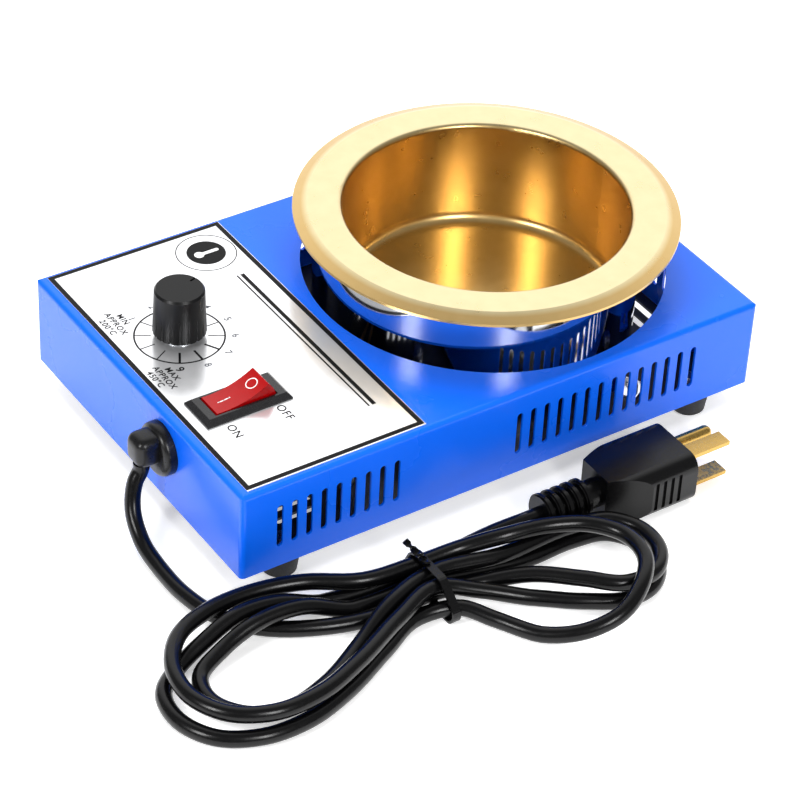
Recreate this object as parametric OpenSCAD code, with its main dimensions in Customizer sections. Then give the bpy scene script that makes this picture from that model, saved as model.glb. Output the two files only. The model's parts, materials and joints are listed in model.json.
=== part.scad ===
// Bench-top solder pot: a folded sheet steel case carries a thermostat panel
// and a deep-drawn pot that hangs by its flange in a polished heater jacket.
// Origin: floor level, centre of the case. +X runs from the panel to the pot.

/* [Case] */
// Length of the case
case_l = 208; // [204:1:230]
// Width of the case
case_w = 137; // [136:1:150]
// Height of the folded cover
case_h = 34; // [32:1:44]
// Thickness of the cover and base plate
sheet_t = 1; // [0.8:0.1:1.4]
// Outside radius of the cover's folded edges
bend_r = 1.8; // [1.6:0.1:3]
// Width of a vent slot
slot_w = 2.4; // [1.8:0.1:2.8]
// Height of a vent slot
slot_h = 17; // [12:0.5:18]
// Spacing of the vent slots
slot_pitch = 5.6; // [5:0.1:5.8]
// Vent slots beside the panel
panel_slots = 9; // [4:1:9]
// Vent slots beside the pot
pot_slots = 14; // [6:1:14]
// Vent slots in the end wall
end_slots = 8; // [4:1:8]

/* [Feet] */
// Height of the rubber feet
foot_h = 9; // [7:0.5:14]
// Radius of a foot where it meets the base plate
foot_top_r = 7.4; // [7:0.1:8]
// Radius of a foot where it meets the floor
foot_bottom_r = 6; // [5.6:0.1:6.8]
// Distance of a foot's centre from the case end
foot_inset_x = 19.5; // [15:0.5:24]
// Distance of a foot's centre from the case side
foot_inset_y = 8; // [7.8:0.1:9]

/* [Pot] */
// Bore radius of the pot
pot_r = 50; // [47:0.5:51]
// Depth of the pot below its rim
pot_depth = 41; // [34:1:43]
// Wall thickness of the pot
pot_t = 1.2; // [1:0.1:1.5]
// Outside radius of the flange
rim_r = 67.2; // [65:0.1:70]
// Radius where the flange's bevel starts
rim_flat_r = 62.2; // [61:0.1:63]
// Drop of the bevel
rim_drop = 1.8; // [1:0.1:2.2]
// Radius of the round lip at the mouth
lip_r = 1.8; // [1.2:0.1:2.4]
// Radius between the pot's floor and wall
pot_fillet = 5; // [3:0.5:8]
// Height of the rim above the case
rim_h = 24; // [20:1:30]
// Radius of the hole in the case around the jacket
pot_hole_r = 64; // [62:0.5:65]

/* [Heater] */
// Outside radius of the polished jacket
jacket_r = 57; // [56:0.1:58]
// Thickness of the jacket
jacket_t = 0.8; // [0.6:0.1:1]
// Sideways offset of the jacket from the pot's centre
jacket_shift = 2.7; // [0:0.1:2.8]
// Thickness of the band heater
band_t = 1.4; // [1:0.1:1.5]
// Height of the band heater
band_h = 22; // [14:1:24]
// Radius of the insulation pad
pad_r = 46; // [40:1:48]
// Height of the spacers under the heat shield
spacer_h = 5; // [4:0.5:7]

/* [Panel] */
// Length of the panel label along the case
label_l = 68; // [64:1:69]
// Width of the panel label
label_w = 132.6; // [126:0.2:133]
// Thickness of the label
label_t = 0.3; // [0.2:0.05:0.5]
// Margin between the label and the case end
label_margin = 3.3; // [2.5:0.1:4.5]
// Distance of the dial from the case end
dial_x = 26; // [24:0.5:30]
// Distance of the dial from the case's centre line
dial_y = 15.2; // [13:0.1:20]
// Top radius of the knob
knob_r = 8.6; // [8:0.1:9.5]
// Height of the knob
knob_h = 17; // [14:0.5:22]
// Radius of the potentiometer shaft
shaft_r = 3; // [2.5:0.1:3.2]
// Distance of the switch from the case end
switch_x = 24.7; // [23:0.1:28]
// Distance of the switch from the centre line
switch_y = 25.4; // [23:0.1:30]
// Length of the switch bezel
bezel_l = 32.4; // [31:0.1:34]
// Width of the switch bezel
bezel_w = 15.4; // [15:0.1:17]
// Height of the switch bezel
bezel_h = 2.3; // [1.8:0.1:2.6]
// Width of the rocker
rocker_w = 10; // [9:0.1:10.2]
// Angle that the rocker tips to each side
rocker_tip = 14; // [8:1:15]

/* [Cord] */
// Diameter of the mains cord
cord_d = 5.6; // [5.2:0.1:5.7]
// Distance of the gland from the centre line
gland_y = 19; // [16:0.5:30]
// Height of the gland above the base of the case
gland_z = 20.8; // [19:0.2:22]
// Radius of the gland's flange
gland_r = 9.5; // [9:0.1:10.5]
// Width of the plug body
plug_w = 26; // [24:0.5:30]
// Thickness of the plug body
plug_t = 19; // [17:0.5:20]
// Length of the plug body
plug_l = 34; // [30:1:40]

/* [Hidden] */
$fn = 96;

// Levels and centres
base_z = foot_h;
plate_top = base_z + sheet_t;
case_top = base_z + case_h;
panel_z = case_top - sheet_t;
label_top = case_top + label_t;
rim_z = case_top + rim_h;
pot_floor = rim_z - pot_depth;
pot_under = pot_floor - pot_t;
pot_x = (case_l - case_w) / 2;
dial = [dial_x - case_l / 2, dial_y];
switch_at = [switch_x - case_l / 2, -switch_y];
slot_z = base_z + case_h / 2 - 0.2;
fit_gap = 0.1;
run_gap = 0.05;
plate_gap = 0.3;

// Jacket: its centre sits off the pot's centre along shift_dir
shift_dir = [cos(144), sin(144)];
jacket_at = [pot_x, 0] + jacket_shift * shift_dir;
jacket_top = rim_z - pot_t;
jacket_inner = jacket_r - jacket_t;
tab_l = 9;
tab_w = 10;
tab_angles = [60, 180, 300];

// Fasteners
m3_r = 1.5;
m3_head_r = 2.8;
m3_head_h = 1.8;
m3_nut_r = 3.1;
m3_nut_h = 2.2;
m4_r = 2;
m4_head_r = 3.6;
m4_head_h = 2.4;
m4_nut_r = 4;
m4_nut_h = 3;

// ---------- shared shapes ----------

// Rectangle with round corners, centred
module round_rect(l, w, r) {
    for (x = [-1, 1], y = [-1, 1]) translate([x * (l / 2 - r), y * (w / 2 - r)]) circle(r);
    square([l - 2 * r, w], center = true);
    square([l, w - 2 * r], center = true);
}

// Upright slot in the XY plane, centred, with round ends
module slot_2d(w, h) {
    square([w, h - w], center = true);
    for (s = [-1, 1]) translate([0, s * (h - w) / 2]) circle(w / 2, $fn = 32);
}

// Profile of a folded cover: square below, round bends above
module bend_profile(w, h, r) {
    translate([-w / 2, 0]) square([w, h - r]);
    translate([-w / 2 + r, h - r]) square([w - 2 * r, r]);
    for (s = [-1, 1]) translate([s * (w / 2 - r), h - r]) circle(r);
}

// Box with round upright edges and round bends round its top
module folded_block(l, w, h, r) {
    intersection() {
        linear_extrude(h) round_rect(l, w, r);
        translate([l / 2, 0, 0]) rotate([90, 0, -90]) linear_extrude(l) bend_profile(w, h, r);
        translate([0, w / 2, 0]) rotate([90, 0, 0]) linear_extrude(w) bend_profile(l, h, r);
    }
}

// Pan-head screw, shank up from z = 0, head below it
module pan_screw(r, len, head_r, head_h) {
    difference() {
        union() {
            cylinder(h = len, r = r);
            translate([0, 0, -head_h * 0.55]) cylinder(h = head_h * 0.55, r = head_r);
            translate([0, 0, -head_h])
                cylinder(h = head_h * 0.45, r1 = head_r * 0.72, r2 = head_r);
        }
        for (a = [0, 90]) rotate(a) translate([-head_r * 0.6, -head_r * 0.12, -head_h - 1])
            cube([head_r * 1.2, head_r * 0.24, 1 + head_h * 0.5]);
    }
}

// Hexagon nut with a true bore, standing on z = 0
module hex_nut(r, bore, h) {
    difference() {
        intersection() {
            cylinder(h = h, r = r, $fn = 6);
            union() {
                cylinder(h = h * 0.8, r = r);
                translate([0, 0, h * 0.8]) cylinder(h = h * 0.2, r1 = r, r2 = r * 0.9);
            }
        }
        translate([0, 0, -1]) cylinder(h = h + 2, r = bore);
    }
}

// Round tube swept along points, as one closed polyhedron
function unit(v) = v / norm(v);
function headings(pts) = let (n = len(pts))
    [for (i = [0:n - 1]) unit(pts[min(i + 1, n - 1)] - pts[max(i - 1, 0)])];
function sides(ts) = [for (i = 0, u = unit(cross(ts[0], [0.1, 1, 0.2])); i < len(ts);
    i = i + 1, u = i < len(ts) ? unit(u - (u * ts[i]) * ts[i]) : u) u];
module tube(pts, d, facets) {
    n = len(pts);
    ts = headings(pts);
    us = sides(ts);
    ring_points = [for (i = [0:n - 1], k = [0:facets - 1])
        let (a = 360 * k / facets)
        pts[i] + d / 2 * (cos(a) * us[i] + sin(a) * cross(ts[i], us[i]))];
    walls = [for (i = [0:n - 2], k = [0:facets - 1]) let (j = (k + 1) % facets)
        [i * facets + j, i * facets + k, (i + 1) * facets + k, (i + 1) * facets + j]];
    ends = [[for (k = [0:facets - 1]) k],
        [for (k = [facets - 1:-1:0]) (n - 1) * facets + k]];
    polyhedron(ring_points, concat(walls, ends), convexity = 10);
}

// Smooth curve through points: each span gains steps - 1 points between its ends
function spline(p, steps) = let (n = len(p)) concat(
    [for (i = [0:n - 2], s = [0:steps - 1]) let (t = s / steps,
        a = p[max(i - 1, 0)], b = p[i], c = p[i + 1], d = p[min(i + 2, n - 1)])
        0.5 * (2 * b + (c - a) * t + (2 * a - 5 * b + 4 * c - d) * pow(t, 2)
            + (3 * b - a - 3 * c + d) * pow(t, 3))],
    [p[n - 1]]);

// ---------- case ----------

panel_slot_x = 14.5 - case_l / 2;
pot_slot_x = case_l / 2 - 27 - (pot_slots - 1) * slot_pitch;
tab_y = [-40, 40];
cover_tab_l = 10;
cover_tab_w = 12;

module cover_slots() {
    for (s = [-1, 1]) translate([0, s * case_w / 2, slot_z]) rotate([90, 0, 0]) {
        for (i = [0:panel_slots - 1]) translate([panel_slot_x + i * slot_pitch, 0, -2 * bend_r])
            linear_extrude(4 * bend_r) slot_2d(slot_w, slot_h);
        for (i = [0:pot_slots - 1]) translate([pot_slot_x + i * slot_pitch, 0, -2 * bend_r])
            linear_extrude(4 * bend_r) slot_2d(slot_w, slot_h);
    }
    for (i = [0:end_slots - 1])
        translate([case_l / 2 - 2 * bend_r, (i - (end_slots - 1) / 2) * slot_pitch, slot_z])
            rotate([90, 0, 90]) linear_extrude(4 * bend_r) slot_2d(slot_w, slot_h);
}

module case_cover() color("royalblue") difference() {
    union() {
        difference() {
            translate([0, 0, base_z]) folded_block(case_l, case_w, case_h, bend_r);
            translate([0, 0, base_z - 1]) folded_block(case_l - 2 * sheet_t,
                case_w - 2 * sheet_t, case_h - sheet_t + 1, bend_r - sheet_t * 0.8);
        }
        for (s = [-1, 1], y = tab_y)
            translate([s * (case_l / 2 - sheet_t - cover_tab_l / 2 + 0.2), y,
                plate_top + sheet_t / 2])
                cube([cover_tab_l + 0.4, cover_tab_w, sheet_t], center = true);
    }
    cover_slots();
    translate([pot_x, 0, panel_z - 1]) cylinder(h = sheet_t + 2, r = pot_hole_r, $fn = 180);
    translate([dial[0], dial[1], panel_z - 1]) cylinder(h = sheet_t + 2, r = bushing_r + 0.2);
    translate([switch_at[0], switch_at[1], panel_z - 1])
        linear_extrude(sheet_t + 2) square([switch_l + 0.4, switch_w + 0.4], center = true);
    translate([-case_l / 2 - 1, -gland_y, base_z + gland_z]) rotate([0, 90, 0])
        cylinder(h = sheet_t + 2, r = gland_hole_r);
    for (s = [-1, 1], y = tab_y) translate([s * cover_screw_x, y, plate_top - 1])
        cylinder(h = sheet_t + 2, r = m3_r + fit_gap);
}

cover_screw_x = case_l / 2 - sheet_t - cover_tab_l * 0.55;
foot_x = case_l / 2 - foot_inset_x;
foot_y = case_w / 2 - foot_inset_y;

module base_plate() color("dimgray") difference() {
    translate([0, 0, base_z]) linear_extrude(sheet_t)
        round_rect(case_l - 2 * (sheet_t + plate_gap), case_w - 2 * (sheet_t + plate_gap), bend_r);
    translate([0, 0, base_z - 1]) linear_extrude(sheet_t + 2) {
        for (s = [-1, 1], y = tab_y) translate([s * cover_screw_x, y]) circle(m3_r + fit_gap);
        for (x = [-1, 1], y = [-1, 1]) translate([x * foot_x, y * foot_y])
            circle(m4_r + fit_gap);
        for (a = tab_angles) translate(jacket_at + tab_reach * [cos(a), sin(a)])
            circle(m3_r + fit_gap);
        for (a = shield_angles) translate([pot_x, 0] + shield_hole_r * [cos(a), sin(a)])
            circle(m3_r + fit_gap);
        for (p = board_posts) translate(p) circle(m3_r + fit_gap);
        translate(earth_at) circle(m4_r + fit_gap);
        base_vents();
    }
}

// Vents in the base: rows under the panel, and four beside the jacket near the end wall
module base_vents() {
    for (s = [-1, 1], i = [0:6]) translate([base_vent_x, s * (base_vent_y - i * slot_pitch)])
        rotate(90) slot_2d(slot_w, slot_h);
    for (s = [-1, 1], i = [0, 1]) translate([case_l / 2 - 13.2 + i * 6, s * 17])
        slot_2d(3.2, slot_h);
}
base_vent_x = 32.5 - case_l / 2;
base_vent_y = case_w / 2 - 18;

module cover_screws() color("silver")
    for (s = [-1, 1], y = tab_y) translate([s * cover_screw_x, y, base_z])
        pan_screw(m3_r, sheet_t * 2 + 2.5, m3_head_r, m3_head_h);

// ---------- feet ----------

foot_recess_h = foot_h * 0.55;

module rubber_foot(x, y) color("black") translate([x, y, 0]) difference() {
    rotate_extrude() {
        polygon([[0, 0], [foot_bottom_r - 0.8, 0], [foot_bottom_r, 0.8],
            [foot_top_r - 0.5, foot_h - 1.4], [foot_top_r, foot_h - 1.2],
            [foot_top_r, foot_h], [0, foot_h]]);
    }
    translate([0, 0, -1]) cylinder(h = foot_h + 2, r = m4_r + fit_gap);
    translate([0, 0, -1]) cylinder(h = foot_recess_h + 1, r = m4_head_r + 0.4);
}
module foot_front_left() rubber_foot(-foot_x, -foot_y);
module foot_front_right() rubber_foot(foot_x, -foot_y);
module foot_back_left() rubber_foot(-foot_x, foot_y);
module foot_back_right() rubber_foot(foot_x, foot_y);

module foot_screws() color("silver")
    for (x = [-1, 1], y = [-1, 1]) translate([x * foot_x, y * foot_y, foot_recess_h])
        pan_screw(m4_r, foot_h - foot_recess_h + sheet_t + m4_nut_h + 1, m4_head_r, m4_head_h);

module foot_nuts() color("silver")
    for (x = [-1, 1], y = [-1, 1]) translate([x * foot_x, y * foot_y, plate_top])
        hex_nut(m4_nut_r, m4_r + run_gap, m4_nut_h);

// ---------- panel ----------

label_x = label_margin + label_l / 2 - case_l / 2;

module panel_label() color("white") difference() {
    translate([label_x, 0, case_top]) linear_extrude(label_t)
        square([label_l, label_w], center = true);
    translate([dial[0], dial[1], case_top - 1]) cylinder(h = label_t + 2, r = bushing_r + 0.4);
    translate([switch_at[0], switch_at[1], case_top - 1]) linear_extrude(label_t + 2)
        square([switch_l + 1, switch_w + 1], center = true);
}

// ---------- pot and heater ----------

// Half section of the pot, from the axis outwards: spun wall with a rolled lip and flange
module pot_section() difference() {
    union() {
        translate([0, pot_under]) square([pot_r + pot_t - pot_fillet, pot_fillet]);
        translate([pot_r + pot_t - pot_fillet, pot_under + pot_fillet]) circle(pot_fillet);
        translate([0, pot_under + pot_fillet])
            square([pot_r + pot_t, pot_depth + pot_t - pot_fillet - lip_r]);
        translate([pot_r, rim_z - lip_r]) square([lip_r, lip_r]);
        polygon([[0, jacket_top], [rim_flat_r, jacket_top],
            [rim_r, rim_z - rim_drop - pot_t * 0.8], [rim_r, rim_z - rim_drop],
            [rim_flat_r, rim_z], [0, rim_z]]);
    }
    translate([pot_r + lip_r, rim_z - lip_r]) circle(lip_r - pot_t);
    translate([0, pot_floor + pot_fillet - pot_t])
        square([pot_r, pot_depth]);
    translate([0, pot_floor]) square([pot_r - pot_fillet + pot_t, pot_depth]);
    translate([pot_r - pot_fillet + pot_t, pot_floor + pot_fillet - pot_t])
        circle(pot_fillet - pot_t);
    difference() {
        translate([pot_r - 1, rim_z - lip_r]) square([lip_r + 1, lip_r + 1]);
        translate([pot_r + lip_r, rim_z - lip_r]) circle(lip_r);
    }
}

module pot() color("goldenrod") translate([pot_x, 0, 0])
    rotate_extrude($fn = 180) intersection() {
        pot_section();
        translate([0, pot_under - 1]) square([rim_r + 1, pot_depth + 10]);
    }

tab_reach = jacket_r + tab_l * 0.55;

module heater_jacket() color("gainsboro") translate([jacket_at[0], jacket_at[1], 0])
    difference() {
        union() {
            translate([0, 0, plate_top]) difference() {
                cylinder(h = jacket_top - plate_top, r = jacket_r, $fn = 180);
                translate([0, 0, -1])
                    cylinder(h = jacket_top - plate_top + 2, r = jacket_inner, $fn = 180);
            }
            for (a = tab_angles) rotate(a) translate([jacket_inner + 0.1, -tab_w / 2, plate_top])
                cube([tab_l + jacket_t, tab_w, jacket_t]);
        }
        for (a = tab_angles) rotate(a) translate([tab_reach, 0, plate_top - 1])
            cylinder(h = jacket_t + 2, r = m3_r + fit_gap);
        for (a = lead_notches) rotate(a) translate([jacket_inner - 2, -2.4, plate_top - 1])
            cube([jacket_t + 4, 4.8, 6]);
    }

module jacket_screws() color("silver")
    for (a = tab_angles) translate([jacket_at[0] + tab_reach * cos(a),
        jacket_at[1] + tab_reach * sin(a), 0]) {
        translate([0, 0, base_z])
            pan_screw(m3_r, sheet_t + jacket_t + m3_nut_h + 0.8, m3_head_r, m3_head_h);
        translate([0, 0, plate_top + jacket_t]) hex_nut(m3_nut_r, m3_r - 0.05, m3_nut_h);
    }

band_z = pot_under + 4;
band_in = pot_r + pot_t + fit_gap;
band_out = band_in + band_t;
band_angle = 144;
band_gap_angle = 9;
ear_h = 4.2;
ear_t = 1.2;
ear_y = 2.4;

module heater_band() color("tan") translate([pot_x, 0, band_z]) rotate(band_angle)
    difference() {
        union() {
            difference() {
                cylinder(h = band_h, r = band_out, $fn = 180);
                translate([0, 0, -1]) cylinder(h = band_h + 2, r = band_in, $fn = 180);
                translate([band_in - 5, -ear_y, -1]) cube([12, 2 * ear_y, band_h + 2]);
            }
            for (s = [-1, 1]) translate([band_in + 0.2, s * (ear_y + ear_t / 2) - ear_t / 2, 0])
                cube([band_t + ear_h - 0.4, ear_t, band_h]);
        }
        translate([ear_bolt_r, 0, band_h / 2]) rotate([90, 0, 0])
            cylinder(h = 20, r = 1.1, center = true);
    }

ear_bolt_r = band_out + 2;

module band_clamp_screw() color("silver") translate([pot_x, 0, band_z]) rotate(band_angle)
    translate([ear_bolt_r, ear_y + ear_t, band_h / 2]) rotate([90, 0, 0]) {
        pan_screw(1, 2 * (ear_y + ear_t) + 2.4, 1.8, 1.2);
        translate([0, 0, 2 * (ear_y + ear_t)]) hex_nut(2, 1, 1.6);
    }

terminal_angles = [band_angle - 12, band_angle + 12];
terminal_r = band_out + 2.2;
terminal_z = band_z + 4;

// Screw terminals on the band: a pad, a stud and its nut at each side of the clamp
module heater_terminals() color("silver")
    for (a = terminal_angles) translate([pot_x, 0, terminal_z]) rotate(a) rotate([0, 90, 0]) {
        translate([0, 0, band_out + run_gap]) cylinder(h = 0.8, r = 3);
        translate([0, 0, band_out + 0.8]) cylinder(h = 3, r = 1.2);
    }

shield_r = 50;
shield_z = plate_top + spacer_h;
shield_t = 0.8;
shield_hole_r = 40;
shield_angles = [30, 150, 270];

module insulation_pad() color("white") translate([pot_x, 0, shield_z + shield_t])
    difference() {
        cylinder(h = pot_under - shield_z - shield_t, r = pad_r);
        for (a = shield_angles) rotate(a) translate([shield_hole_r, 0, -1])
            cylinder(h = m3_nut_h + 2.5, r = m3_nut_r + 0.6);
    }

module heat_shield() color("gainsboro") translate([pot_x, 0, shield_z]) difference() {
    union() {
        cylinder(h = shield_t, r = shield_r);
        difference() {
            cylinder(h = 3, r = shield_r);
            translate([0, 0, -1]) cylinder(h = 5, r = shield_r - shield_t);
        }
    }
    for (a = shield_angles) rotate(a) translate([shield_hole_r, 0, -1])
        cylinder(h = shield_t + 2, r = m3_r + fit_gap);
}

module shield_spacers() color("silver")
    for (a = shield_angles) translate([pot_x, 0, plate_top]) rotate(a)
        translate([shield_hole_r, 0, 0]) difference() {
            cylinder(h = spacer_h, r = 3);
            translate([0, 0, -1]) cylinder(h = spacer_h + 2, r = m3_r + run_gap);
        }

module shield_screws() color("silver")
    for (a = shield_angles) translate([pot_x, 0, 0]) rotate(a)
        translate([shield_hole_r, 0, 0]) {
            translate([0, 0, base_z])
                pan_screw(m3_r, sheet_t + spacer_h + shield_t + m3_nut_h + 0.6,
                    m3_head_r, m3_head_h);
            translate([0, 0, shield_z + shield_t]) hex_nut(m3_nut_r, m3_r - 0.05, m3_nut_h);
        }

// ---------- control ----------

bushing_r = 3.5;
can_r = 8.2;
can_h = 8;
can_top = panel_z - 0.4;
nut_r = 5.6;
nut_h = 2;
washer_t = 0.4;
knob_base = label_top + washer_t + nut_h + 0.3;
knob_top = knob_base + knob_h;
pointer_angle = 18;
shaft_top = knob_top - 3;

module knob_flutes() {
    for (i = [0:17]) rotate(i * 20) translate([knob_r + 0.75, 0, knob_base - 1])
        cylinder(h = knob_h * 0.8, r = 0.5, $fn = 24);
}

module control_knob() color("black") translate([dial[0], dial[1], 0]) difference() {
    rotate_extrude() polygon([[0, knob_base], [knob_r + 0.6, knob_base],
        [knob_r, knob_top - 0.8], [knob_r - 0.6, knob_top], [0, knob_top]]);
    translate([0, 0, knob_base - 1]) cylinder(h = shaft_top - knob_base + 1.1,
        r = shaft_r + fit_gap);
    translate([0, 0, knob_base - 1]) cylinder(h = 3, r = nut_r + 0.8);
    rotate(pointer_angle) translate([knob_r - 3.2, -0.35, knob_top - 0.5]) cube([5, 0.7, 2]);
    knob_flutes();
}

module potentiometer_shaft() color("silver") translate([dial[0], dial[1], 0]) difference() {
    translate([0, 0, can_top - 2]) cylinder(h = shaft_top - can_top + 2, r = shaft_r);
    rotate(pointer_angle) translate([-shaft_r - 1, -0.4, shaft_top - 4])
        cube([2 * shaft_r + 2, 0.8, 5]);
}

module potentiometer_body() color("darkgray") translate([dial[0], dial[1], 0])
    difference() {
        union() {
            translate([0, 0, can_top - can_h]) cylinder(h = can_h, r = can_r);
            translate([0, 0, can_top - 0.1])
                cylinder(h = label_top + washer_t + nut_h + 0.2 - can_top, r = bushing_r);
            for (i = [-1:1]) translate([i * 5 - 0.6, can_r - 0.3, can_top - can_h])
                cube([1.2, 5, 0.8]);
        }
        translate([0, 0, can_top - 2.1]) cylinder(h = 20, r = shaft_r + run_gap);
    }

module potentiometer_nut() color("silver") translate([dial[0], dial[1], label_top]) {
    difference() {
        cylinder(h = washer_t, r = nut_r + 0.4);
        translate([0, 0, -1]) cylinder(h = 3, r = bushing_r + run_gap);
    }
    translate([0, 0, washer_t]) hex_nut(nut_r, bushing_r + run_gap, nut_h);
}

board_l = 46;
board_w = 54;
board_t = 1.6;
board_at = [dial[0] + 1, dial[1] + 13];
board_top = can_top - can_h - fit_gap;
board_z = board_top - board_t;
board_posts = [for (s = [-1, 1]) board_at + [s * (board_l / 2 - 4), board_w / 2 - 4]];

module circuit_board() color("darkgreen") difference() {
    translate([board_at[0], board_at[1], board_z]) linear_extrude(board_t)
        square([board_l, board_w], center = true);
    for (p = board_posts) translate([p[0], p[1], board_z - 1])
        cylinder(h = board_t + 2, r = m3_r + fit_gap);
}

module board_spacers() color("ivory")
    for (p = board_posts) translate([p[0], p[1], plate_top]) difference() {
        cylinder(h = board_z - plate_top, r = 3.2, $fn = 6);
        translate([0, 0, -1]) cylinder(h = board_z - plate_top + 2, r = m3_r - 0.1);
    }

module board_screws() color("silver")
    for (p = board_posts) translate([p[0], p[1], 0]) {
        translate([0, 0, base_z]) pan_screw(m3_r - 0.1, 5, m3_head_r, m3_head_h);
        translate([0, 0, board_top]) rotate([180, 0, 0])
            pan_screw(m3_r - 0.1, 6, m3_head_r, m3_head_h);
    }

triac_at = board_at + [6, -12];

// Triac hangs below the board against its heat sink
module triac() color("dimgray") translate([triac_at[0], triac_at[1], board_z]) {
    translate([-5, -2.2, -12]) cube([10, 4.4, 9]);
    translate([-5, 1, -16]) cube([10, 1.2, 5]);
    for (i = [-1:1]) translate([i * 2.5 - 0.4, -0.4, -3.2]) cube([0.8, 0.6, 3.2]);
}

module heat_sink() color("silver") translate([triac_at[0], triac_at[1] + 2.2, board_z - 17])
    {
        translate([-9, 0, 0]) cube([18, 1.6, 17]);
        for (i = [0:4]) translate([-9 + i * 4.1, 1.4, 0]) cube([1.4, 6, 17]);
    }

module filter_capacitor() color("gold")
    translate([board_at[0] - 12, board_at[1] + 8, board_z - 10]) {
        translate([-6.5, -3, 0]) cube([13, 6, 10]);
    }

module timing_resistors() color("peru") for (i = [0:2])
    translate([board_at[0] - 18 + i * 4.5, board_at[1] + 4, board_top + 1.3]) rotate([-90, 0, 0]) {
        cylinder(h = 6.5, r = 1.2);
        translate([0, 0, -1.4]) cylinder(h = 9.3, r = 0.35);
        for (y = [-1.4, 7.2]) translate([-0.35, 0, y]) cube([0.7, 1.2, 0.7]);
    }

block_l = 25;
block_w = 9;
block_h = 10;
block_pole = 5;
block_bore_z = 4;
block_at = board_at + [-6, -board_w / 2 + 6];

module terminal_block() color("seagreen")
    translate([block_at[0], block_at[1], board_z - block_h]) difference() {
        translate([-block_l / 2, -block_w / 2, 0]) cube([block_l, block_w, block_h]);
        for (i = [-2:2]) translate([i * block_pole, 0, 0]) {
            translate([0, -block_w / 2 - 1, block_bore_z]) rotate([-90, 0, 0])
                cylinder(h = block_w / 2 + 2, r = 1.4);
            translate([0, 0, -1]) cylinder(h = block_bore_z - 1, r = 1.7);
        }
    }

// ---------- switch ----------

switch_l = 28;
switch_w = 12.6;
switch_depth = 19;
bezel_edge = 0.6;
bezel_slope = 1.6;
rocker_r = 11.6;
rocker_corner = 30.5;
rocker_skirt = 16;
rocker_dip = 1.6;
well_l = 2 * (rocker_r + 0.25);
well_w = rocker_w + 0.7;
well_depth = 7;
pivot_z = label_top - 0.7;
pivot_r = 1.4;

module switch_housing() color("#333333") translate([switch_at[0], switch_at[1], 0])
    difference() {
        union() {
            translate([0, 0, panel_z - switch_depth])
                linear_extrude(switch_depth + sheet_t + label_t)
                    square([switch_l, switch_w], center = true);
            hull() {
                translate([0, 0, label_top]) linear_extrude(bezel_edge)
                    square([bezel_l, bezel_w], center = true);
                translate([0, 0, label_top]) linear_extrude(bezel_h)
                    square([bezel_l - 2 * bezel_slope, bezel_w - 2 * bezel_slope], center = true);
            }
        }
        translate([0, 0, pivot_z - well_depth])
            linear_extrude(well_depth + 10) square([well_l, well_w], center = true);
        translate([0, 0, pivot_z]) rotate([90, 0, 0])
            cylinder(h = well_w + 1.2, r = pivot_r + run_gap, center = true);
    }

// Side view of the rocker about its pivot: round ends, and a top that dips over the pivot
module rocker_side() {
    corner = rocker_r * [cos(rocker_corner), sin(rocker_corner)];
    end_arc = [for (k = [0:8]) let (a = -rocker_skirt + (rocker_corner + rocker_skirt) * k / 8)
        rocker_r * [cos(a), sin(a)]];
    top = [for (k = [1:11]) let (x = corner[0] * (1 - k / 6))
        [x, corner[1] - rocker_dip * (1 - pow(x / corner[0], 2))]];
    far_arc = [for (k = [8:-1:0]) [-end_arc[k][0], end_arc[k][1]]];
    polygon(concat(end_arc, top, far_arc));
}

module switch_rocker() color("red") translate([switch_at[0], switch_at[1], pivot_z])
    rotate([90, -rocker_tip, 0]) {
        linear_extrude(rocker_w, center = true) rocker_side();
        cylinder(h = well_w + 0.8, r = pivot_r, center = true);
    }

terminal_x = [-9, 0, 9];

module switch_terminals() color("silver")
    for (x = terminal_x) translate([switch_at[0] + x, switch_at[1], panel_z - switch_depth])
        difference() {
            translate([-0.4, -2.4, -7]) cube([0.8, 4.8, 7]);
            translate([-1, 0, -4.5]) rotate([0, 90, 0]) cylinder(h = 2, r = 0.8);
        }

// ---------- gland, leads and earth ----------

gland_hole_r = 6.2;
gland_boss = 3.6;
gland_wall = -case_l / 2;
gland_level = base_z + gland_z;
elbow_w = 10;
elbow_reach = 12;
elbow_top = 8;
elbow_bottom = -3;
exit_x = gland_wall - 8.4;
exit_z = gland_level + elbow_bottom;
stub_l = 4;

module cord_gland() color("black") translate([0, -gland_y, gland_level]) {
    translate([gland_wall - gland_boss, 0, 0]) rotate([0, 90, 0])
        cylinder(h = gland_boss, r1 = gland_r - 1, r2 = gland_r);
    translate([gland_wall - 0.1, 0, 0]) rotate([0, 90, 0])
        cylinder(h = sheet_t + stub_l, r = gland_hole_r - fit_gap);
    translate([gland_wall - gland_boss, 0, 0]) rotate([90, 0, 0])
        linear_extrude(elbow_w, center = true) elbow_side();
}

// Side view of the moulded elbow that turns the cord down
module elbow_side() {
    square_reach = elbow_reach - gland_boss;
    translate([-square_reach + 4, elbow_bottom]) square([square_reach - 3.9, elbow_top - elbow_bottom]);
    translate([-square_reach, elbow_bottom]) square([4.1, elbow_top - elbow_bottom - 4]);
    translate([-square_reach + 4, elbow_top - 4]) circle(4);
}

module gland_nut() color("black")
    translate([gland_wall + sheet_t, -gland_y, gland_level]) rotate([0, 90, 0])
        difference() {
            cylinder(h = 3, r = gland_r - 1.5, $fn = 6);
            translate([0, 0, -1]) cylinder(h = 5, r = gland_hole_r);
        }

earth_at = [switch_at[0] + 30, switch_at[1] - 18];
earth_lug_z = plate_top;

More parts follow.
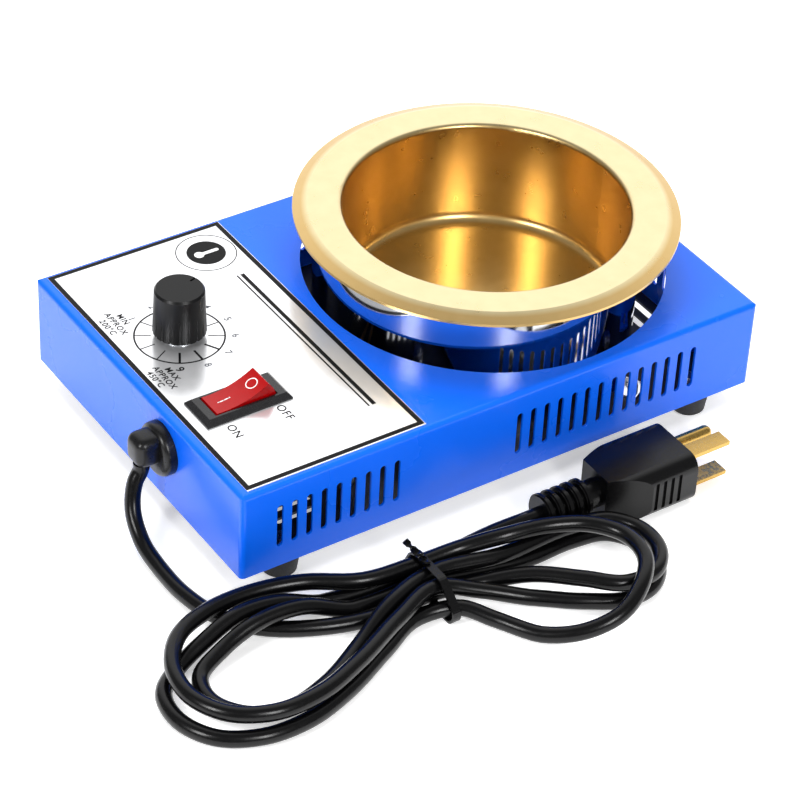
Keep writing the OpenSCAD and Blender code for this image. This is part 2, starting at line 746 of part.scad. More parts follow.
module earth_stud() color("silver") translate([earth_at[0], earth_at[1], 0]) {
    translate([0, 0, base_z])
        pan_screw(m4_r, sheet_t + m4_nut_h + 3, m4_head_r, m4_head_h);
    translate([0, 0, earth_lug_z]) difference() {
        union() {
            cylinder(h = 0.8, r = 4);
            translate([-9, -1.5, 0]) cube([7, 3, 0.8]);
        }
        translate([0, 0, -1]) cylinder(h = 3, r = m4_r - 0.05);
    }
    translate([0, 0, earth_lug_z + 0.8]) hex_nut(m4_nut_r, m4_r - 0.05, m4_nut_h);
}

lead_d = 2;
lead_steps = 3;
lead_sides = 8;
core_x = gland_wall + sheet_t + stub_l + 0.2;
core_y = [-2.6, 0, 2.6];
lug_z = panel_z - switch_depth - 7;
lead_notches = [165, 195];
low_z = plate_top + 3.4;
lead_bay_x = jacket_at[0] - jacket_r - 16.8;

function core(i) = [core_x, -gland_y + core_y[i], gland_level];
function lug(i) = [switch_at[0] + terminal_x[i], switch_at[1], lug_z];
function block(i) = [block_at[0] + i * block_pole, block_at[1] - block_w / 2,
    board_z - block_h + block_bore_z];
function band_end(k) = [pot_x + terminal_r * cos(terminal_angles[k]),
    terminal_r * sin(terminal_angles[k]), terminal_z - 3.2];

module lead(points, paint) color(paint) tube(spline(points, lead_steps), lead_d, lead_sides);

module live_lead() lead([core(0), core(0) + [2, 0, 0], core(0) + [3.4, -1.4, -3.6],
    [lug(0)[0] - 5.6, lug(0)[1], lug_z + 4.6], lug(0) + [-3.4, 0, 2.4],
    lug(0) + [-0.8, 0, 2.2]], "saddlebrown");
module neutral_lead() lead([core(2), core(2) + [2, 0, 0], core(2) + [4, 3, -2], block(-2) + [0, -8, 0],
    block(-2) + [0, 2, 0]], "steelblue");
module earth_lead() lead([core(1), core(1) + [2, 0, 0], core(1) + [3.2, 0.2, -6],
    core(1) + [3.4, -2, -14], core(1) + [7, -15, -16], [lug(1)[0], earth_at[1], low_z],
    earth_at_z(-17, low_z), earth_at_z(-9.5, plate_top + 1.2)], "yellowgreen");
module switch_lead() lead([lug(1) + [0, 2.8, 2], lug(1) + [1, 7, 3], block(0) + [0, -7, 0],
    block(0) + [0, 2, 0]], "saddlebrown");
function earth_at_z(along, z) = [earth_at[0] + along, earth_at[1], z];
module heater_lead_left() lead([block(1) + [0, 2, 0], block(1) + [0, -2, 0], block(1) + [3, -6, -3],
    [lead_bay_x, -4, low_z], notch(1) + [-6, 0, 0], notch(1) + [3, 0, 0],
    notch(1) + [5, 6, 3], band_end(1) + [-2, -3, -8], band_end(1)], "ivory");
module heater_lead_right() lead([block(2) + [0, 2, 0], block(2) + [0, -2, 0], block(2) + [3, -5, -3],
    [lead_bay_x, 6, low_z], notch(0) + [-6, 0, 0], notch(0) + [3, 0, 0],
    notch(0) + [5, 6, 3], band_end(0) + [-2, -6, -8], band_end(0)], "ivory");
function notch(k) = [jacket_at[0] + jacket_inner * cos(lead_notches[k]),
    jacket_at[1] + jacket_inner * sin(lead_notches[k]), low_z];

// ---------- cord ----------

cord_gap = 0.1;

// The cord's route, chosen by hand: it leaves the gland, runs along the floor and is
// folded into three loops at each side of the tie, then climbs into the plug's relief
lead_run = [[exit_x, -gland_y, exit_z - cord_gap], [exit_x, -gland_y, exit_z - 2.3],
    [-115, -19.5, 20], [-118, -23, 12], [-119.5, -31, 5.5],
    [-120, -44, 3], [-119.5, -60, 3], [-116, -73, 3], [-107, -85, 3], [-90, -95, 3],
    [-71, -100, 3], [-50, -100.5, 4]];
upper_right_loop = [[-34, -104, 4], [-20, -112.5, 7.5], [-8, -124, 9], [3, -133, 9],
    [14.5, -133, 9], [22.5, -124.5, 9], [23, -113.5, 9], [16.5, -104, 9], [5, -101, 9],
    [-24, -101, 9], [-50, -97, 9.5]];
inner_left_loop = [[-68, -102, 9], [-85, -109.5, 4], [-104, -118.5, 3], [-119, -121.5, 3],
    [-131, -117, 3], [-137.5, -106.5, 3], [-135, -95.5, 3], [-124, -90, 5], [-108, -88, 9],
    [-94, -89, 9], [-77, -92.5, 3], [-50, -94.5, 4]];
lower_right_loop = [[-32, -98, 3], [-14, -101.5, 3], [5, -101.5, 3], [16.5, -104, 3],
    [23, -113.5, 3], [22.5, -124.5, 3], [14.5, -133, 3], [3, -134.5, 3], [-9, -128.5, 3],
    [-24, -117.5, 3], [-38, -109, 6], [-52, -103.5, 9.5]];
top_left_loop = [[-70, -109.5, 9], [-92, -120, 9], [-110, -126, 9], [-126, -126, 9],
    [-138.5, -119.5, 9], [-145, -107, 9], [-143.5, -93.5, 9], [-134.5, -81, 9],
    [-120.5, -75.5, 9], [-105, -75, 9], [-88, -79, 9], [-70, -88.5, 9], [-50, -91, 9.5]];
outer_right_loop = [[-36, -93, 11], [-22, -98.5, 14.5], [-6, -102.5, 15], [6, -109, 15],
    [12.5, -119, 15], [11.5, -130.5, 15], [4, -139.5, 14], [-8, -145, 10],
    [-20, -142.5, 6], [-31, -134, 3], [-40, -120, 3], [-46.5, -111.3, 4]];
outer_left_loop = [[-61, -107, 3], [-78, -114.5, 3], [-98, -124, 3], [-116, -129, 3],
    [-132, -128, 3], [-144.5, -121, 3], [-150.5, -108.5, 3], [-148.5, -96, 3],
    [-138.5, -88, 3], [-127, -84.5, 6], [-113, -82, 9], [-99, -82.5, 8], [-84, -85, 3],
    [-52, -88.5, 4]];
plug_run = [[-34, -87, 4], [-19, -89.2, 7.8], [-7, -91, 9.5], [-2, -91, 9.5]];
cord_route = concat(lead_run, upper_right_loop, inner_left_loop, lower_right_loop,
    top_left_loop, outer_right_loop, outer_left_loop, plug_run);

module mains_cord() color("black") tube(cord_route, cord_d, 8);

tie_x = -50.5;
tie_w = 3;
tie_t = 0.8;
tie_slack = 0.7;
tied_strands = [[-88.4, 4], [-110.1, 4], [-103.8, 9.4], [-91, 9.5]];

module tie_outline(r) hull()
    for (p = tied_strands) translate(p) circle(r, $fn = 32);

// Strap round the seven strands, with its ends twisted together on top
module cord_tie() color("black") {
    translate([tie_x - tie_w / 2, 0, 0]) rotate([90, 0, 90]) linear_extrude(tie_w)
        difference() {
            tie_outline(cord_d / 2 + tie_slack + tie_t);
            tie_outline(cord_d / 2 + tie_slack);
        }
    translate([tie_x, -97, 9.3 + cord_d / 2 + tie_slack + tie_t]) rotate([0, -55, -60])
        linear_extrude(11, twist = 540, slices = 24, $fn = 4) square([2.2, 0.9], center = true);
}

// ---------- plug ----------

plug_end = cord_route[len(cord_route) - 1];
plug_axis = [plug_end[1], plug_end[2]];
relief_l = 22;
relief_r = 7;
relief_core = 5.2;
relief_ribs = 5;
rib_pitch = 3.8;
rib_w = 2.3;
plug_r = 5;
blade_w = 6.3;
blade_t = 1.5;
blade_l = 17;
blade_gap = 12.7;
ground_r = 2.4;
ground_l = 21;
ground_offset = 11.9;
blade_shift = -5;

module at_plug(along) translate([plug_end[0] + cord_gap + along, plug_axis[0], plug_axis[1]])
    children();

// Ribbed relief: a tapered core with round-edged ribs
module relief() at_plug(0) rotate([0, 90, 0]) {
    cylinder(h = relief_l + 2, r1 = relief_core - 0.8, r2 = relief_core);
    for (i = [0:relief_ribs - 1]) translate([0, 0, i * rib_pitch]) rotate_extrude() {
        square([relief_r - 0.6, rib_w]);
        translate([0, 0.6]) square([relief_r, rib_w - 1.2]);
    }
}

// Outline of the plug from above: narrow at the cord, full width at the pins
module plug_plan() {
    translate([0, -relief_r]) square([plug_l, 2 * relief_r]);
    polygon([[0, -relief_r], [plug_l * 0.45, -plug_w / 2], [plug_l, -plug_w / 2],
        [plug_l, plug_w / 2], [plug_l * 0.45, plug_w / 2], [0, relief_r]]);
}

// End view of the plug: a box with round long edges
module plug_end_view() round_rect(plug_t, plug_w, plug_r);

module plug_body() color("black") {
    difference() {
        union() {
            relief();
            at_plug(relief_l) intersection() {
                translate([0, 0, -plug_t / 2]) linear_extrude(plug_t) plug_plan();
                rotate([0, 90, 0]) linear_extrude(plug_l) plug_end_view();
            }
        }
        for (s = [-1, 1], i = [0:3]) at_plug(relief_l + plug_l * 0.5 + i * 3.2)
            translate([0, s * plug_w / 2, 0]) cube([1.4, 1.6, plug_t * 0.6], center = true);
    }
}

module plug_pins() color("silver") at_plug(relief_l + plug_l) {
    for (s = [-1, 1]) translate([0, blade_shift, s * blade_gap / 2]) rotate([0, 90, 0])
        linear_extrude(blade_l) {
            translate([-blade_t / 2, -blade_w / 2 + 1]) square([blade_t, blade_w - 2]);
            square([blade_t, blade_w], center = true);
        }
    translate([0, blade_shift + ground_offset, 0]) rotate([0, 90, 0]) {
        cylinder(h = ground_l - ground_r, r = ground_r);
        translate([0, 0, ground_l - ground_r]) sphere(ground_r, $fn = 32);
    }
}

case_cover();
base_plate();
cover_screws();
foot_front_left();
foot_front_right();
foot_back_left();
foot_back_right();
foot_screws();
foot_nuts();
panel_label();
pot();
heater_jacket();
jacket_screws();
heater_band();
band_clamp_screw();
heater_terminals();
insulation_pad();
heat_shield();
shield_spacers();
shield_screws();
control_knob();
potentiometer_shaft();
potentiometer_body();
potentiometer_nut();
circuit_board();
board_spacers();
board_screws();
triac();
heat_sink();
filter_capacitor();
timing_resistors();
terminal_block();
switch_housing();
switch_rocker();
switch_terminals();
cord_gland();
gland_nut();
earth_stud();
live_lead();
neutral_lead();
earth_lead();
switch_lead();
heater_lead_left();
heater_lead_right();
mains_cord();
cord_tie();
plug_body();
plug_pins();
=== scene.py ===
# %% [markdown]
# # A solder pot for the workbench
# The frame holds the measured solids: a folded case, a pot in its jacket, a dial, a switch
# and a tied cord. This lesson gives them their looks. Places come from the frame where it
# holds them. The rest, such as the cord's route and the print, is given in millimetres.

# %% Setup
import json
import math

import bmesh
import bpy
from mathutils import Matrix, Vector


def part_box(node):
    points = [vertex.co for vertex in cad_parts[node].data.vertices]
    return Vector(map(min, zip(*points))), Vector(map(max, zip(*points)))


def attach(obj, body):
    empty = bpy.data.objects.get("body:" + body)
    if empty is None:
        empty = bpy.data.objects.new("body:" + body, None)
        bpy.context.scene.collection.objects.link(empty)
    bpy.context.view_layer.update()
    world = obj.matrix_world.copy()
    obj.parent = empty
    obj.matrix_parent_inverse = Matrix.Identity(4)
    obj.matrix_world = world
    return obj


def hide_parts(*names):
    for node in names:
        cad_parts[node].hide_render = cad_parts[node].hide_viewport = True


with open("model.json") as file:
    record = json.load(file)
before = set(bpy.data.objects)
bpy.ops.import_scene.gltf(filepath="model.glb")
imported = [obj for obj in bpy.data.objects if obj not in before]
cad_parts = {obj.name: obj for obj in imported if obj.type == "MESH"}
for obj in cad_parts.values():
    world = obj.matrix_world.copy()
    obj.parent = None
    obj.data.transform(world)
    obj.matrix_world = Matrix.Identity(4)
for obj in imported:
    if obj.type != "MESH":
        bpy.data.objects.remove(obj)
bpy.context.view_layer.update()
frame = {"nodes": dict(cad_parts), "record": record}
nodes = frame["nodes"]
MM = 0.001


def middle(node):
    """Centre of a solid's box."""
    low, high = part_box(node)
    return (low + high) / 2


CASE_LOW, CASE_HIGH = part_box("case_cover")
LABEL_LOW, LABEL_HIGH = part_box("panel_label")
DIAL = middle("control_knob")
SWITCH = middle("switch_housing")

# %% [markdown]
# ## Camera
# A long lens looks down at a front corner, rolled by three degrees. It aims at the top of the
# case, and two small shifts, to the right and down, bring the cord into the frame.

# %% Camera
AZIMUTH, ELEVATION, ROLL = (math.radians(v) for v in (-35.305, 38.043, 3.124))
STAND_OFF, SHIFT_RIGHT, SHIFT_DOWN = 1.074719, 0.000648, 0.037577
LENS, SENSOR = 140.46, 36
back = Vector((math.sin(AZIMUTH) * math.cos(ELEVATION),
               -math.cos(AZIMUTH) * math.cos(ELEVATION), math.sin(ELEVATION)))
level = Vector((math.cos(AZIMUTH), math.sin(AZIMUTH), 0))
upright = back.cross(level)
right = math.cos(ROLL) * level + math.sin(ROLL) * upright
up = -math.sin(ROLL) * level + math.cos(ROLL) * upright
camera = bpy.data.objects.new("camera", bpy.data.cameras.new("camera"))
bpy.context.collection.objects.link(camera)
spot = (back * STAND_OFF + right * SHIFT_RIGHT - up * SHIFT_DOWN
        + Vector((0, 0, CASE_HIGH.z)))
turned = Matrix((right, up, back)).transposed().to_4x4()
camera.matrix_world = Matrix.Translation(spot) @ turned
camera.data.lens = LENS
camera.data.sensor_width = SENSOR
camera.data.clip_start = 0.05
bpy.context.scene.camera = camera


# %% [markdown]
# ## Materials
# Each material is a Principled shader with its own grain. `grain` mixes noise into the
# colour, the roughness and the bump, in the object's own coordinates, so that nothing is a
# flat colour. The pot's gold has its own nodes: its rim is painted paler than its wall, a
# painted highlight for the bright backdrop that the flat rim mirrors.

# %% Materials
def linear(red, green, blue):
    """Colour from 0 to 255 as linear light."""
    return [((c / 255 + 0.055) / 1.055) ** 2.4 if c > 10 else c / 255 / 12.92
            for c in (red, green, blue)] + [1]


BUMP_DEPTH = 0.0002


class Look:
    """A material's node tree, with short calls to add nodes to it."""

    def __init__(self, name, **values):
        self.material = bpy.data.materials.new(name)
        self.material.use_nodes = True
        self.nodes = self.material.node_tree.nodes
        self.shader = self.nodes["Principled BSDF"]
        for key, value in values.items():
            self.shader.inputs[key.replace("_", " ")].default_value = value
        self.place = self.add("ShaderNodeTexCoord").outputs["Object"]

    def feed(self, socket, value):
        """Links a socket to another's value, or gives it a constant one."""
        if isinstance(value, bpy.types.NodeSocket):
            self.material.node_tree.links.new(value, socket)
        else:
            socket.default_value = value

    def set(self, node, key, value):
        """Feeds the input that is named by key, with _ for each space."""
        self.feed(node.inputs[key.replace("_", " ")], value)

    def add(self, kind, **inputs):
        """Node of a kind, with its inputs set."""
        node = self.nodes.new(kind)
        for key, value in inputs.items():
            self.set(node, key, value)
        return node

    def noise(self, scale, detail=3):
        """Noise from 0 to 1. The scale counts waves in a metre."""
        node = self.add("ShaderNodeTexNoise", Vector=self.place, Scale=scale, Detail=detail)
        return node.outputs["Fac"]

    def span(self, value, low, high, start=0.3, end=0.7):
        """Carries value from start..end over to low..high."""
        node = self.add("ShaderNodeMapRange", Value=value)
        for key, number in zip(("From Min", "From Max", "To Min", "To Max"),
                               (start, end, low, high)):
            node.inputs[key].default_value = number
        return node.outputs[0]

    def mix(self, fac, a, b):
        """Mix of two colours."""
        node = self.nodes.new("ShaderNodeMix")
        node.data_type = "RGBA"
        for index, value in ((0, fac), (6, a), (7, b)):
            self.feed(node.inputs[index], value)
        return node.outputs[2]

    def bump(self, height, strength):
        """Tilts the surface by a height from 0 to 1, BUMP_DEPTH deep."""
        node = self.add("ShaderNodeBump", Height=height, Strength=strength,
                        Distance=BUMP_DEPTH)
        self.set(self.shader, "Normal", node.outputs[0])

    def grain(self, colours, scale, rough, strength):
        """Colour, roughness and bump from one noise."""
        noise = self.noise(scale, 4)
        self.set(self.shader, "Base_Color", self.mix(self.span(noise, 0, 1), *colours))
        self.set(self.shader, "Roughness", self.span(noise, *rough))
        self.bump(noise, strength)
        return self


def plastic(name, colour, rough, scale=1500, strength=0.06, shade=0.8, **values):
    """Look whose colour falls to a share of itself, the shade, with its grain."""
    darker = [c * shade for c in colour[:3]] + [1]
    return Look(name, **values).grain((darker, colour), scale, rough, strength)


def metal(name, colour, rough, scale=900, strength=0.04):
    """Bare metal with a slight grain."""
    return plastic(name, colour, rough, scale, strength, 0.86, Metallic=1)


blue_paint = plastic("blue_paint", linear(4, 99, 238), (0.26, 0.28), 25, 0, 0.985,
                     Specular_IOR_Level=0.3, Coat_Weight=0.08, Coat_Roughness=0.15)
zinc = metal("zinc", linear(190, 192, 196), (0.25, 0.4))
rubber = plastic("rubber", linear(26, 26, 28), (0.55, 0.75), 2500, 0.25)
film = plastic("label_film", linear(246, 247, 249), (0.2, 0.24), 300, 0.003, 0.98, Metallic=0.72)
print_black = plastic("print_black", linear(8, 8, 9), (0.4, 0.5), 900, 0.01, 0.9,
                      Specular_IOR_Level=0.15)
RIM_FROM, RIM_TO = 0.0662, 0.06695
gold = Look("gold_coated_steel", Metallic=1, Coat_Weight=0.35, Coat_Roughness=0.28)
soft_noise = gold.noise(160, 3)
height = gold.add("ShaderNodeSeparateXYZ", Vector=gold.place).outputs["Z"]
wall_gold = gold.mix(gold.span(soft_noise, 0, 1), linear(203, 170, 108), linear(209, 176, 115))
# Paler gold from RIM_FROM up to RIM_TO: a painted highlight on the rim, for the bright backdrop
# it mirrors.
rim_highlight_gold = gold.mix(gold.span(soft_noise, 0, 1), linear(222, 206, 160), linear(228, 213, 168))
gold.set(gold.shader, "Base_Color",
         gold.mix(gold.span(height, 0, 1, RIM_FROM, RIM_TO), wall_gold, rim_highlight_gold))
gold.set(gold.shader, "Roughness", gold.span(soft_noise, 0.27, 0.32))
gold.bump(gold.noise(2400), 0.015)
mirror = metal("polished_steel", linear(226, 228, 232), (0.05, 0.08), 60, 0.01)
band_steel = metal("band_steel", linear(168, 162, 150), (0.3, 0.5), 400)
fibre = plastic("ceramic_fibre", linear(226, 222, 210), (0.8, 0.95), 700, 0.5, 0.85)
knob_black = plastic("knob_plastic", linear(10, 10, 11), (0.3, 0.4), 2200, 0.05,
                     Specular_IOR_Level=0.22)
aluminium = metal("aluminium", linear(198, 200, 203), (0.22, 0.36))
board_green = plastic("board", linear(30, 92, 52), (0.25, 0.4), 500, 0.05)
nylon = plastic("nylon", linear(222, 214, 196), (0.4, 0.5))
black_plastic = plastic("black_plastic", linear(10, 10, 11), (0.26, 0.36), 2000, 0.05,
                        Specular_IOR_Level=0.35)
bezel_grey = plastic("bezel_grey", linear(26, 26, 28), (0.24, 0.3), 700, 0.01, 0.95)
# The base plate's dark navy is painted shade: it darkens the inside of the case seen through the
# hole and the slots.
interior_shade_paint = plastic("interior_shade_paint", linear(22, 28, 46), (0.4, 0.5), 300, 0.01, 0.9)
yellow_plastic = plastic("yellow_plastic", linear(200, 160, 40), (0.25, 0.35))
ceramic = plastic("ceramic_body", linear(180, 140, 96), (0.5, 0.7))
red_plastic = plastic("red_plastic", linear(158, 2, 5), (0.16, 0.22), 300, 0.01, 0.9,
                      Specular_IOR_Level=0.25, Coat_Weight=0.1, Coat_Roughness=0.05)
brass = metal("brass", linear(206, 168, 92), (0.2, 0.35))
lead_pvc = plastic("lead_pvc", linear(124, 92, 64), (0.3, 0.4))
cord_pvc = plastic("cord_pvc", linear(6, 6, 7), (0.2, 0.27), 1200, 0.03, 0.8,
                   Specular_IOR_Level=0.28)
print_grey = plastic("print_grey", linear(84, 86, 92), (0.4, 0.5), 900, 0.01, 0.95,
                     Specular_IOR_Level=0.15)
white_print = plastic("white_print", linear(240, 240, 240), (0.3, 0.4), 900, 0.01, 0.97)

SLOT_LOOKS = dict(
    blue_paint=blue_paint, zinc=zinc, rubber=rubber, label_film=film, gold_coated_steel=gold,
    polished_steel=mirror, band_steel=band_steel, ceramic_fibre=fibre, knob_plastic=knob_black,
    aluminium=aluminium, board=board_green, nylon=nylon, black_plastic=black_plastic,
    yellow_plastic=yellow_plastic, ceramic_body=ceramic, red_plastic=red_plastic, brass=brass,
    lead_pvc=lead_pvc, cord_pvc=cord_pvc)


# %% [markdown]
# ## Small helpers
# A piece is one mesh with its place in its vertices. It rides on a body of the frame.

# %% Helpers
def add_piece(name, mesh, look, body="case", slot=None, smooth=35):
    """A mesh as a piece on a body, shaded smooth below the given angle."""
    piece = bpy.data.objects.new(name, mesh)
    bpy.context.collection.objects.link(piece)
    mesh.materials.clear()
    mesh.materials.append(look.material)
    mesh.shade_smooth()
    mesh.set_sharp_from_angle(angle=math.radians(smooth))
    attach(piece, body)
    return piece


def from_bmesh(name, bm, look, **facts):
    """The bmesh as a piece, with its faces turned outward."""
    bmesh.ops.recalc_face_normals(bm, faces=bm.faces)
    mesh = bpy.data.meshes.new(name)
    bm.to_mesh(mesh)
    bm.free()
    return add_piece(name, mesh, look, **facts)


def lathe(profile, centre, steps=192):
    """Closed section of (radius, height) in mm, spun round the vertical line at centre."""
    bm = bmesh.new()
    ring = [bm.verts.new((centre.x + r * MM, centre.y, z * MM)) for r, z in profile]
    edges = [bm.edges.new((a, b)) for a, b in zip(ring, ring[1:] + ring[:1])]
    bmesh.ops.spin(bm, geom=ring + edges, cent=(centre.x, centre.y, 0), axis=(0, 0, 1),
                   angle=2 * math.pi, steps=steps, use_merge=True)
    bmesh.ops.remove_doubles(bm, verts=bm.verts, dist=1e-7)
    return bm


def arc(centre, radius, start, end, steps=8):
    """Points of (radius, height) round a centre, angles in degrees."""
    turn = [math.radians(start + (end - start) * k / steps) for k in range(steps + 1)]
    return [(centre[0] + radius * math.cos(t), centre[1] + radius * math.sin(t)) for t in turn]


def plate(bm, outline, low, high):
    """Extruded outline of (x, y) in metres, from low to high."""
    base = [bm.verts.new((x, y, low)) for x, y in outline]
    face = bm.faces.new(base)
    made = bmesh.ops.extrude_face_region(bm, geom=[face])["geom"]
    bmesh.ops.translate(bm, vec=(0, 0, high - low),
                        verts=[v for v in made if isinstance(v, bmesh.types.BMVert)])
    return bm


def rectangle(centre, length, width):
    """Outline of a rectangle in metres."""
    x, y = length / 2, width / 2
    return [(centre[0] + a * x, centre[1] + b * y)
            for a, b in ((1, 1), (-1, 1), (-1, -1), (1, -1))]


# %% [markdown]
# ## Cord
# The route runs through the points that the frame's cord was made with, in a bundle that the
# tie holds. A smooth curve joins them, and never sinks below the bench.

# %% Cord
CORD_D = 5.6
BENCH_GAP = 0.1
ROUTE = [
    (-112.4, -19, 26.7), (-112.4, -19, 24.5), (-115, -19.5, 20), (-118, -23, 12),
    (-119.5, -31, 5.5), (-120, -44, 3), (-119.5, -60, 3), (-116, -73, 3), (-107, -85, 3),
    (-90, -95, 3),
    (-71, -100, 3), (-50, -100.5, 4),
    (-34, -104, 4), (-20, -112.5, 7.5), (-8, -124, 9), (3, -133, 9), (14.5, -133, 9),
    (22.5, -124.5, 9), (23, -113.5, 9), (16.5, -104, 9), (5, -101, 9), (-24, -101, 9),
    (-50, -97, 9.5),
    (-68, -102, 9), (-85, -109.5, 4), (-104, -118.5, 3), (-119, -121.5, 3), (-131, -117, 3),
    (-137.5, -106.5, 3), (-135, -95.5, 3), (-124, -90, 5), (-108, -88, 9), (-94, -89, 9),
    (-77, -92.5, 3), (-50, -94.5, 4),
    (-32, -98, 3), (-14, -101.5, 3), (5, -101.5, 3), (16.5, -104, 3), (23, -113.5, 3),
    (22.5, -124.5, 3), (14.5, -133, 3), (3, -134.5, 3), (-9, -128.5, 3), (-24, -117.5, 3),
    (-38, -109, 6), (-52, -103.5, 9.5),
    (-70, -109.5, 9), (-92, -120, 9), (-110, -126, 9), (-126, -126, 9), (-138.5, -119.5, 9),
    (-145, -107, 9), (-143.5, -93.5, 9), (-134.5, -81, 9), (-120.5, -75.5, 9),
    (-105, -75, 9), (-88, -79, 9), (-70, -88.5, 9), (-50, -91, 9.5),
    (-36, -93, 11), (-22, -98.5, 14.5), (-6, -102.5, 15), (6, -109, 15), (12.5, -119, 15),
    (11.5, -130.5, 15), (4, -139.5, 14), (-8, -145, 10), (-20, -142.5, 6), (-31, -134, 3),
    (-40, -120, 3), (-46.5, -111.3, 4),
    (-61, -107, 3), (-78, -114.5, 3), (-98, -124, 3), (-116, -129, 3), (-132, -128, 3),
    (-144.5, -121, 3), (-150.5, -108.5, 3), (-148.5, -96, 3), (-138.5, -88, 3),
    (-127, -84.5, 6), (-113, -82, 9), (-99, -82.5, 8), (-84, -85, 3), (-52, -88.5, 4),
    (-34, -87, 4), (-19, -89.2, 7.8), (-7, -91, 9.5), (-2, -91, 9.5)]


def slope(before, here, after):
    """Direction of the curve at a point, from its two legs. The shorter leg counts more."""
    into, out = here - before, after - here
    return ((out / out.length * into.length + into / into.length * out.length)
            / (into.length + out.length))


def smooth_line(points, steps=6):
    """Points of a smooth curve through the given ones, straight at its two ends."""
    points = [Vector(p) for p in points]
    line = []
    for i, (b, c) in enumerate(zip(points, points[1:])):
        leg = c - b
        slope_b = slope(points[i - 1], b, c) * leg.length if i else leg
        slope_c = slope(b, c, points[i + 2]) * leg.length if i + 2 < len(points) else leg
        for s in range(steps):
            t = s / steps
            line.append(b * (2 * t ** 3 - 3 * t ** 2 + 1) + slope_b * (t ** 3 - 2 * t ** 2 + t)
                        + c * (3 * t ** 2 - 2 * t ** 3) + slope_c * (t ** 3 - t ** 2))
    return line + [points[-1]]


cord_line = [Vector((p.x, p.y, max(p.z, CORD_D / 2 + BENCH_GAP))) * MM
             for p in smooth_line(ROUTE)]
curve = bpy.data.curves.new("mains_cord_line", "CURVE")
curve.dimensions = "3D"
curve.bevel_depth = CORD_D / 2 * MM
curve.bevel_resolution = 5
curve.use_fill_caps = True
spline = curve.splines.new("POLY")
spline.points.add(len(cord_line) - 1)
for point, place in zip(spline.points, cord_line):
    point.co = (*place, 1)
spline.use_smooth = True
curve.materials.append(cord_pvc.material)
cord = bpy.data.objects.new("mains_cord_look", curve)
bpy.context.collection.objects.link(cord)
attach(cord, "case")
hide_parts("mains_cord")

# The gland is one rubber moulding: a round flange on the case and a hood over the cord.
GLAND_R, GLAND_FLANGE, GLAND_ROUND = 9.5, 4.4, 2.2
NECK_R, NECK_DEPTH = 6.1, 4.8
HOOD = Vector((10.4, 10.4, 11.2)) * MM
HOOD_DROP, HOOD_ROUND = 3 * MM, 3.4 * MM
gland_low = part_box("cord_gland")[0]
gland_axis = Vector((CASE_LOW.x, middle("cord_gland").y, gland_low.z + GLAND_R * MM))
bm = lathe([(0, -NECK_DEPTH), (NECK_R, -NECK_DEPTH), (NECK_R, 0), (GLAND_R, 0)]
           + arc((GLAND_R - GLAND_ROUND, GLAND_FLANGE - GLAND_ROUND), GLAND_ROUND, 0, 90)
           + [(0, GLAND_FLANGE)], Vector(), 96)
bmesh.ops.transform(bm, verts=bm.verts, matrix=Matrix.Translation(gland_axis)
                    @ Matrix.Rotation(math.radians(-90), 4, "Y"))
hood = bmesh.ops.create_cube(bm, size=1)["verts"]
bmesh.ops.scale(bm, verts=hood, vec=HOOD)
bmesh.ops.translate(bm, verts=hood, vec=(gland_low.x + HOOD.x / 2, gland_axis.y,
                                         gland_axis.z - HOOD_DROP + HOOD.z / 2))
bmesh.ops.bevel(bm, geom=[e for e in bm.edges if e.verts[0] in hood and e.verts[1] in hood],
                offset=HOOD_ROUND, segments=6, profile=0.5, affect="EDGES")
gland = from_bmesh("gland_hood", bm, black_plastic, slot="black_plastic", smooth=50)
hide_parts("cord_gland")

# %% [markdown]
# ## Frame materials
# Every solid of the frame takes the look that the record names for it. The switch's bezel
# is a lighter grey than the other black mouldings, and the base plate is painted dark as
# painted shade, so that the inside of the case stays dark.

# %% Frame materials
NODE_LOOKS = {"switch_housing": bezel_grey, "base_plate": interior_shade_paint}
for part in frame["record"]["subparts"]:
    mesh = nodes[part["node"]].data
    mesh.materials.clear()
    mesh.materials.append(NODE_LOOKS.get(part["node"],
                                         SLOT_LOOKS[part["material_slot"]]).material)
    mesh.shade_smooth()
    mesh.set_sharp_from_angle(angle=math.radians(30))

# %% [markdown]
# ## Print on the label
# A black border, a dial with nine numbers, a thermometer badge, two rules and the words
# beside the dial and the switch. Each is a skin 0.03 mm thick on the label. The words run
# towards the front of the case, with their tops towards the pot.

# %% Label print
INK = 0.00003
INK_LIFT = 0.000002
PRINT_LOW, PRINT_HIGH = LABEL_HIGH.z + INK_LIFT, LABEL_HIGH.z + INK
READING_TURN = Matrix.Rotation(math.radians(-90), 4, "Z")
CAPITAL_SHARE = 0.73


def ink(name, bm, look=print_black):
    """A printed shape as a piece on the label."""
    return from_bmesh(name, bm, look, slot="label_film", smooth=20)


def ink_ring(centre, radius, width, steps=128):
    """Ring of ink round a centre in metres, radius and width in mm."""
    return lathe([(radius - width / 2, PRINT_LOW / MM), (radius + width / 2, PRINT_LOW / MM),
                  (radius + width / 2, PRINT_HIGH / MM), (radius - width / 2, PRINT_HIGH / MM)],
                 Vector(centre), steps)


def words(name, text, x, y, capital, look=print_black, weight=0.0):
    """Line of letters centred at x, y in mm, with capitals of the given height."""
    letters = bpy.data.curves.new(name, "FONT")
    letters.body = text
    letters.size = capital / CAPITAL_SHARE * MM
    letters.align_x = "CENTER"
    letters.align_y = "CENTER"
    letters.space_character = 1.14
    letters.extrude = INK / 2
    letters.offset = weight * MM
    holder = bpy.data.objects.new(name, letters)
    mesh = bpy.data.meshes.new_from_object(holder)
    bpy.data.objects.remove(holder)
    middle_height = LABEL_HIGH.z + INK / 2 + INK_LIFT
    mesh.transform(Matrix.Translation((x * MM, y * MM, middle_height)) @ READING_TURN)
    return add_piece(name, mesh, look, slot="label_film", smooth=20)


